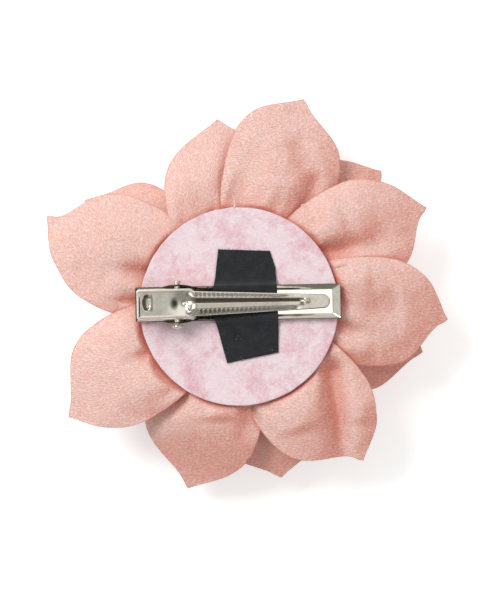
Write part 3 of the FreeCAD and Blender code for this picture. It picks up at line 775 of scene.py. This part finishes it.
def pad_relief(x, y, share, half):
    """Pad: edges turned down, a bead along the tail, a punched slot with its tab, a dish over the pin.

    Returns how far the surface is raised, and where the slot is open."""
    from_edge = np.minimum((1 - np.abs(share)) * half, x - TAIL)
    turned = -0.42 * (1 - smooth(0.0, 0.5, from_edge)) ** 1.4
    bead = 0.20 * bell(from_edge, 0.62, 0.26) * (1 - 0.85 * smooth(0.2, 0.8, share))
    slot_x, slot_y = TAIL + 2.65, 0.47
    slot = 1 - smooth(0.82, 1.06, np.hypot((x - slot_x) / 1.05, (y - slot_y) / 2.15))
    tab = between(x, slot_x - 0.15, slot_x + 1.2, 0.12) * between(y, slot_y - 1.35, slot_y + 1.1, 0.2)
    punched = -0.60 * slot * (1 - tab) - 0.16 * slot * tab
    fold_line = 0.05 * bell(x, slot_x + 1.7, 0.45) * between(y, -1.6, 2.4, 0.6)
    dish = -1.15 * bell(np.hypot((x - PIN[0] - 1.0) / 2.4, (y - 0.1) / 2.7), 0, 1)
    return turned + bead + punched + fold_line + dish, slot * (1 - tab)


def arm_relief(x, y, share, half):
    """Arm: an off-centre groove with a beaded lip, a flat web beside it and a corrugated lower flange.

    Returns how far the surface is raised, and where painted shade darkens the groove and the gaps between the
    teeth."""
    teeth_on = between(x, TOOTH_START - 2.6, TOOTH_END, 0.5)
    wave = np.cos((x - TOOTH_START) * 2 * math.pi / TOOTH_PITCH)
    fading = np.interp(x, (SHOULDER, TOOTH_END), (1.0, 0.30))
    groove_on = smooth(SHOULDER - 3.0, SHOULDER - 1.8, x) * (1 - smooth(16.2, 18.0, x))
    groove = np.interp(share, (0.05, 0.12, 0.17, 0.48), (0.0, -1.0, -1.0, 0.0)) * 0.50 * groove_on
    lip = bell(share, 0.52, 0.035) * (0.03 + 0.035 * wave) * teeth_on
    web = 0.10 * between(share, -0.44, 0.03, 0.03) * groove_on
    lower = -0.55 * smooth(0.45, 0.95, -share) * (1 - smooth(12.0, 17.0, x))
    corrugated = between(-share, 0.48, 0.84, 0.06) * 0.15 * wave * fading * teeth_on
    ticks = between(share, 0.58, 0.92, 0.08) * 0.006 * wave * teeth_on
    upper = -0.12 * smooth(0.5, 1.0, share) * (1 - smooth(12.0, 17.0, x))
    dot = 0.13 * bell(np.hypot(x - 18.5, y - 0.2), 0.0, 0.50)
    from_edge = np.minimum((1 - np.abs(share)) * half, TIP_END - x)
    turned = -0.16 * (1 - smooth(0.0, 0.22, from_edge))
    relief = groove + lip + web + lower + corrugated + ticks + upper + dot + turned
    # Painted shade: in the gaps between the lower flange's teeth and along the groove.
    gaps = between(-share, 0.50, 0.86, 0.05) * (1 - smooth(-0.8, 0.1, wave)) * fading * teeth_on
    painted_shade = np.maximum(0.9 * between(share, 0.12, 0.44, 0.03) * groove_on, 0.85 * gaps)
    return relief, painted_shade


def lever_foot(x, edge):
    """Height of the lower edge of the lever's turned-down sides: toothed along the arm."""
    wave = np.abs(((x - TOOTH_START) / TOOTH_PITCH + 0.5) % 1.0 - 0.5) * 2
    teeth = 0.72 + 0.55 * (1 - smooth(0.1, 0.75, wave)) * between(x, TOOTH_START - 0.6, TOOTH_END + 0.2, 0.3)
    on_arm = smooth(SHOULDER - 0.6, SHOULDER + 1.2, x)
    toward_tip = smooth(11.0, 16.0, x)
    arm = teeth * (1 - toward_tip) + (edge - 0.36) * toward_tip
    return (edge - 0.55) * (1 - on_arm) + np.minimum(arm, edge - 0.3) * on_arm


def make_lever():
    """The lever pressed from one sheet: upper face, and sides turned down from its edges."""
    # Cross-sections lie closer together where more is pressed in, and closest at the round tip.
    runs = ((TAIL, TAIL + 1.6, 26), (TAIL + 1.6, SHOULDER - 1.5, 120), (SHOULDER - 1.5, 10.0, 380),
            (10.0, TIP_END - 0.35, 100))
    stations = [x for low, high, count in runs for x in np.linspace(low, high, count)[:-1]]
    stations += list(TIP_END - 0.35 * (1 - np.linspace(0, 1, 8)) ** 2)
    stations[0] += 0.02
    stations[-1] -= 0.002
    top = np.sin(np.linspace(-1, 1, 87) * math.pi / 2 * 0.95) / math.sin(math.pi / 2 * 0.95)
    wall = np.linspace(0, 1, 9)[1:]
    share = np.concatenate([-np.ones(8), top, np.ones(8)])
    down = np.concatenate([wall[::-1], np.zeros(len(top)), wall])
    x, share = np.meshgrid(stations, share, indexing="ij")
    down = np.broadcast_to(down, x.shape)
    half = np.maximum(lever_half_width(x), 0.03)
    y = share * half
    pad, slot = pad_relief(x, y, share, half)
    on_arm = smooth(SHOULDER - 1.6, SHOULDER + 0.5, x)
    arm, painted_shade = arm_relief(x, y, share, half)
    arm_shown = np.maximum(on_arm, smooth(SHOULDER - 2.9, SHOULDER - 1.5, x) * 0.8)
    edge = lever_top(x) + pad * (1 - on_arm) + arm * arm_shown
    z = edge - down * (edge - lever_foot(x, edge))
    flare = 0.09 * down
    beyond_tip = np.clip((x - TIP_MIDDLE) / TIP_RADIUS, 0, 1)
    x = x + flare * beyond_tip
    y = y + np.sign(share) * flare * np.sqrt(1 - beyond_tip**2)
    piece = surface("clip_lever_plate", x, y, z, LEVER, NICKEL)
    flip_up(piece)
    # The lower edges of the turned-down sides get the dark cut-edge colour; the slot, the groove and the
    # tooth gaps get painted shade.
    edge_and_painted_shade = np.maximum(smooth(0.75, 1.0, down), slot * (1 - on_arm) * 0.9)
    edge_and_painted_shade = np.maximum(edge_and_painted_shade, painted_shade * smooth(SHOULDER - 1.8, SHOULDER + 1.0, x))
    attribute(piece, "rim", edge_and_painted_shade)
    piece.data.set_sharp_from_angle(angle=math.radians(40))
    thicken(piece, 0.34)
    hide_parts("clip_lever")
    make_cheeks()


def plate(name, outline, low, high, body, material):
    """A flat plate standing in the XZ plane between two Y values, with slightly rounded edges."""
    count = len(outline)
    points = [(x, low, z) for x, z in outline] + [(x, high, z) for x, z in outline]
    faces = [tuple(range(count)), tuple(range(2 * count - 1, count - 1, -1))]
    for index in range(count):
        following = (index + 1) % count
        faces.append((index, index + count, following + count, following))
    piece = new_piece(name, points, faces, body, material)
    weld(piece)
    piece.data.set_sharp_from_angle(angle=math.radians(35))
    rounded(piece, 0.06)


def make_cheeks():
    """The lever's two ears, folded down from the pad around the pin."""
    radius, inner, outer = 1.9, 3.62, 4.05
    slope = (lever_high.z - KNEE_HEIGHT) / (KNEE - TAIL)
    outline = []
    for step in range(25):
        turn = math.pi + step / 24 * math.pi
        outline.append((PIN[0] + radius * math.cos(turn), PIN[1] + radius * math.sin(turn)))
    for offset, below in ((radius, 1.55), (radius + 1.2, 0.65), (-radius - 1.2, 0.65), (-radius, 1.55)):
        x = PIN[0] + offset
        outline.append((x, lever_high.z - (x - TAIL) * slope - below))
    for side, low, high in (("left", -outer, -inner), ("right", inner, outer)):
        plate(f"lever_cheek_{side}", outline, low, high, LEVER, NICKEL)


def lathe(name, profile, axis_x, axis_z, body, slot, material, spokes=48):
    """A turned piece about an axis along Y: profile is (radius, place along Y) pairs."""
    points = []
    for radius, y in profile:
        for spoke in range(spokes):
            turn = spoke / spokes * 2 * math.pi
            points.append((axis_x + radius * math.cos(turn), y, axis_z + radius * math.sin(turn)))
    piece = new_piece(name, points, grid_faces(len(profile), spokes, wrap=True), body, material)
    weld(piece)
    return piece


def make_pin():
    """Pin with a domed formed head at one end and a small peened end at the other."""
    shaft, head, peen = 0.8, 1.6, 1.05
    first, last = PIN_LOW.y, PIN_HIGH.y
    profile = [(0.0, first), (head * 0.55, first + 0.06), (head * 0.86, first + 0.24), (head, first + 0.55),
               (head * 0.96, first + 0.85), (head * 0.8, first + 1.0), (shaft, first + 1.02),
               (shaft, first + 1.3), (shaft, 0.0), (shaft, last - 1.1), (shaft, last - 0.8),
               (peen * 0.95, last - 0.74), (peen, last - 0.45), (peen * 0.9, last - 0.15),
               (peen * 0.5, last - 0.02), (0.0, last)]
    piece = lathe("pivot_pin_turned", profile, *PIN, ROOT, "nickel_steel", NICKEL)
    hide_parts("pivot_pin")


def make_spring():
    """Flat strip folded round the pin; its upper leg follows the lever's pad."""
    low, high = box("leaf_spring")
    thick, inner = 0.32, 1.12
    middle = inner + thick / 2
    line = [(low.x, low.z + thick), (PIN[0], PIN[1] - middle)]
    for step in range(1, 12):
        turn = -math.pi / 2 + step / 12 * math.pi
        line.append((PIN[0] + middle * math.cos(turn), PIN[1] + middle * math.sin(turn)))
    line += [(PIN[0], PIN[1] + middle), (low.x, high.z - thick)]
    dense = [line[0]]
    for start, end in zip(line[:-1], line[1:]):
        pieces = 16 if math.dist(start, end) > 2 else 1
        for step in range(1, pieces + 1):
            share = step / pieces
            dense.append((start[0] + (end[0] - start[0]) * share, start[1] + (end[1] - start[1]) * share))
    columns = 9
    points = []
    for x, z in dense:
        for column in range(columns):
            points.append((x, low.y + (high.y - low.y) * column / (columns - 1), z))
    faces = grid_faces(len(dense), columns)
    piece = new_piece("leaf_spring_strip", points, faces, None, SPRING)
    thicken(piece, thick, 0.0)
    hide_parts("leaf_spring")
    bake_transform(piece)


def graded(low, high, coarse):
    """Places from low to high, close together near both ends, where the tray's rims are."""
    rim_zone = 2.2
    near = np.linspace(0, rim_zone, 34)
    between_rims = np.linspace(low + rim_zone, high - rim_zone, coarse)[1:-1]
    return np.concatenate([low + near, between_rims, (high - near)[::-1]])


def make_base():
    """Base plate pressed into a shallow tray: flat floor, rims bent up and outward with mitred corners."""
    low, high = box("clip_base")
    side_run, tail_run, jaw_run = 1.3, 1.3, 2.1
    along = graded(low.x, high.x, 180)
    across = graded(-TRAY_HALF, TRAY_HALF, 16)
    x, y = np.meshgrid(along, across, indexing="ij")
    toward_side = 1 + (np.abs(y) - TRAY_HALF) / side_run
    toward_jaw = 1 + (x - high.x) / jaw_run
    toward_tail = 1 + (low.x - x) / tail_run
    softness = 0.05
    toward_end = np.maximum(toward_jaw, toward_tail)
    beyond = softness * np.logaddexp(toward_side / softness, toward_end / softness)
    rise = TRAY_RIM * softness * np.logaddexp(0, beyond / softness)
    from_edge = np.minimum(TRAY_HALF - np.abs(y), np.minimum(high.x - x, x - low.x))
    lip = 0.10 * (1 - smooth(0.0, 0.16, from_edge))
    z = np.minimum(rise, TRAY_RIM) - lip + 0.015 * ruffle(x, y, 5, 0.4)
    piece = surface("clip_base_tray", x, y, z, ROOT, NICKEL)
    flip_up(piece)
    attribute(piece, "rim", 1 - smooth(0.06, 0.22, from_edge))
    thicken(piece, 0.45)
    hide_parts("clip_base")
    for side, name in ((1, "left"), (-1, "right")):
        make_ear(name, side)


def make_ear(name, side):
    """One of the base plate's two ears: stands up from the rim, rounded on top and bowed outward."""
    reach, round_middle, bulge, foot = 3.75, 1.3, 0.52, 0.15
    step = np.sin(np.linspace(-1, 1, 41) * math.pi / 2)
    t, up = np.meshgrid(step, np.linspace(0, 1, 15), indexing="ij")
    top = round_middle + np.sqrt(np.clip(reach**2 - (t * reach) ** 2, 0.0, None))
    x = PIN[0] + t * reach
    y = side * (TRAY_HALF - 0.12 + bulge * (1 - t**2) * smooth(0.0, 0.35, up))
    z = foot + up * (top - foot)
    piece = surface(f"base_ear_{name}", x, y, z, ROOT, NICKEL)
    attribute(piece, "rim", smooth(0.9, 1.0, up))
    thicken(piece, 0.42, 0.0)
    rounded(piece, 0.05, angle=50)


# ---------------------------------------------------------------- loose threads and glue traces

def strand(points_list, faces_list, path, radius, sides=5):
    """Adds a thin tapering round strand along a path, in millimetres, to a growing mesh."""
    first = len(points_list)
    for index, place in enumerate(path):
        ahead = Vector(path[min(index + 1, len(path) - 1)]) - Vector(path[max(index - 1, 0)])
        ahead.normalize()
        across = ahead.orthogonal().normalized()
        up = ahead.cross(across)
        size = radius * (1 - 0.75 * index / (len(path) - 1))
        for side in range(sides):
            turn = side / sides * 2 * math.pi
            points_list.append(Vector(place) + (across * math.cos(turn) + up * math.sin(turn)) * size)
    for index in range(len(path) - 1):
        for side in range(sides):
            start, following = first + index * sides, (side + 1) % sides
            faces_list.append((start + side, start + following,
                               start + sides + following, start + sides + side))


def make_frayed_ends(edges, count=46):
    """Short loose threads standing out of the strap's two cut ends."""
    chance = random.Random(5)
    points, faces = [], []
    for start, end, outward in edges:
        for _ in range(count):
            share = chance.random()
            root = Vector(start).lerp(Vector(end), share)
            lean = Vector((chance.uniform(-0.5, 0.5), outward, chance.uniform(-0.1, 0.5)))
            long = chance.uniform(0.12, 0.55)
            root -= lean * 0.1
            path = []
            for step in range(5):
                sag = Vector((0, 0, -0.05 * step * step / 16))
                path.append(root + lean * long * step / 4 + sag)
            strand(points, faces, path, 0.035)
    piece = new_piece("strap_threads", points, faces, ROOT, RIBBON)
    cloth_coordinates(piece, [point[0] for point in points], [point[1] for point in points])


def make_glue_traces():
    """A pale string of glue over the felt's upper edge and a small drop between two petals."""
    points, faces = [], []
    thread = [(-0.6, 25.4, FELT_TOP + 0.1), (-0.4, 26.5, FELT_TOP + 0.12), (-0.6, 27.6, FELT_TOP - 0.2),
              (-0.9, 28.6, FELT_TOP - 0.3), (-1.1, 29.5, FELT_TOP - 0.2)]
    strand(points, faces, thread, 0.13)
    drop = [(17.5, 25.7, -1.1), (17.7, 25.9, -0.95), (18.0, 26.0, -1.0), (18.3, 26.2, -1.2)]
    strand(points, faces, drop, 0.24)
    new_piece("glue_traces", points, faces, ROOT, GLUE)


# ---------------------------------------------------------------- stage, lights and camera

def make_stage():
    """An endless white table just under the flower, lit a little from within so that it stays white."""
    shader = Shader("white_table")
    haze = shader.noise(shader.coordinates((0.02, 0.02, 0.02)), 1.0)
    tone = shader.mix(haze, (0.74, 0.74, 0.74, 1), (0.76, 0.76, 0.76, 1))
    shader.feed(shader.bsdf.inputs["Emission Color"], (1, 1, 1, 1))
    shader.feed(shader.bsdf.inputs["Emission Strength"], 0.47)
    material = shader.finish(color=tone, roughness=0.9, specular=0.0)
    size = 4000
    level = cad_low.z / MM - 0.05
    points = [(-size, -size, level), (size, -size, level), (size, size, level), (-size, size, level)]
    mesh = bpy.data.meshes.new("table_top")
    mesh.from_pydata([tuple(np.array(point) * MM) for point in points], [], [(0, 1, 2, 3)])
    floor = bpy.data.objects.new("table_top", mesh)
    mesh.materials.append(material)
    bpy.context.scene.collection.objects.link(floor)


def area_light(name, place, size, power, color=(1, 1, 1), mirrored=True):
    """A round lamp aimed at the clip; the metal shows it only where mirrored is true."""
    data = bpy.data.lights.new(name, "AREA")
    data.shape = "DISK"
    data.size = size
    data.energy = power
    data.color = color
    light = bpy.data.objects.new(name, data)
    light.location = place
    light.rotation_euler = (-Vector(place)).to_track_quat("-Z", "Y").to_euler()
    light.visible_glossy = mirrored
    bpy.context.scene.collection.objects.link(light)


def make_lights():
    """One large soft window at the upper left, a weak fill, and a sky that is brighter toward the window."""
    area_light("key", WINDOW, 0.8, 18.2, (1.0, 0.985, 0.96))
    area_light("fill", (0.8, -0.6, 1.0), 1.0, 3.4, mirrored=False)
    world = bpy.data.worlds.new("studio")
    world.use_nodes = True
    bpy.context.scene.world = world
    tree = world.node_tree
    background = tree.nodes["Background"]
    coordinates = tree.nodes.new("ShaderNodeTexCoord")
    split = tree.nodes.new("ShaderNodeSeparateXYZ")
    ramp = tree.nodes.new("ShaderNodeValToRGB")
    tree.links.new(coordinates.outputs["Generated"], split.inputs[0])
    tree.links.new(split.outputs["Z"], ramp.inputs["Fac"])
    tree.links.new(ramp.outputs["Color"], background.inputs["Color"])
    lit = tree.nodes.new("ShaderNodeMath")
    lit.operation = "MULTIPLY"
    tree.links.new(lit.outputs[0], background.inputs["Strength"])
    # The sky dims toward the near side (Y) and is almost dark far out to the right (X).
    for index, (axis, *limits) in enumerate((("Y", -0.5, 0.5, 0.30, 0.95), ("X", 0.90, 0.76, 0.08, 1.0))):
        side = tree.nodes.new("ShaderNodeMapRange")
        for key, value in zip(("From Min", "From Max", "To Min", "To Max"), limits):
            side.inputs[key].default_value = value
        tree.links.new(split.outputs[axis], side.inputs["Value"])
        tree.links.new(side.outputs["Result"], lit.inputs[index])
    # Brightness by height: the metal mirrors these bands where its surface turns away from level.
    stops = ramp.color_ramp.elements
    stops[0].position = 0.0
    stops[0].color = (0.40, 0.40, 0.40, 1)
    stops[1].position = 1.0
    stops[1].color = (3.2, 3.1, 2.9, 1)
    for place, grey in ((0.35, 0.70), (0.60, 1.15), (0.85, 1.05), (0.90, 0.95), (0.925, 0.30), (0.95, 0.30),
                        (0.968, 1.15), (0.980, 1.00), (0.990, 1.60)):
        stop = stops.new(place)
        stop.color = (grey, grey, grey * 0.97, 1)


def make_camera():
    """Straight above the clip, turned a little so that the clip lies as it does in the picture."""
    distance = 1.2
    picture_height = 0.1608
    data = bpy.data.cameras.new("camera")
    data.sensor_width = 36.0
    data.lens = 36.0 * distance / picture_height
    camera = bpy.data.objects.new("camera", data)
    camera.location = (0.0025, 0.0007, distance)
    camera.rotation_euler = (0, 0, math.radians(-1.17))
    data.clip_end = 20
    bpy.context.scene.collection.objects.link(camera)
    bpy.context.scene.camera = camera


bpy.context.scene.view_settings.view_transform = "Standard"
make_camera()
make_stage()
make_lights()
make_flower()
make_backing()
make_glue()
make_bud()
make_strap()
make_base()
make_lever()
make_pin()
make_spring()
make_glue_traces()
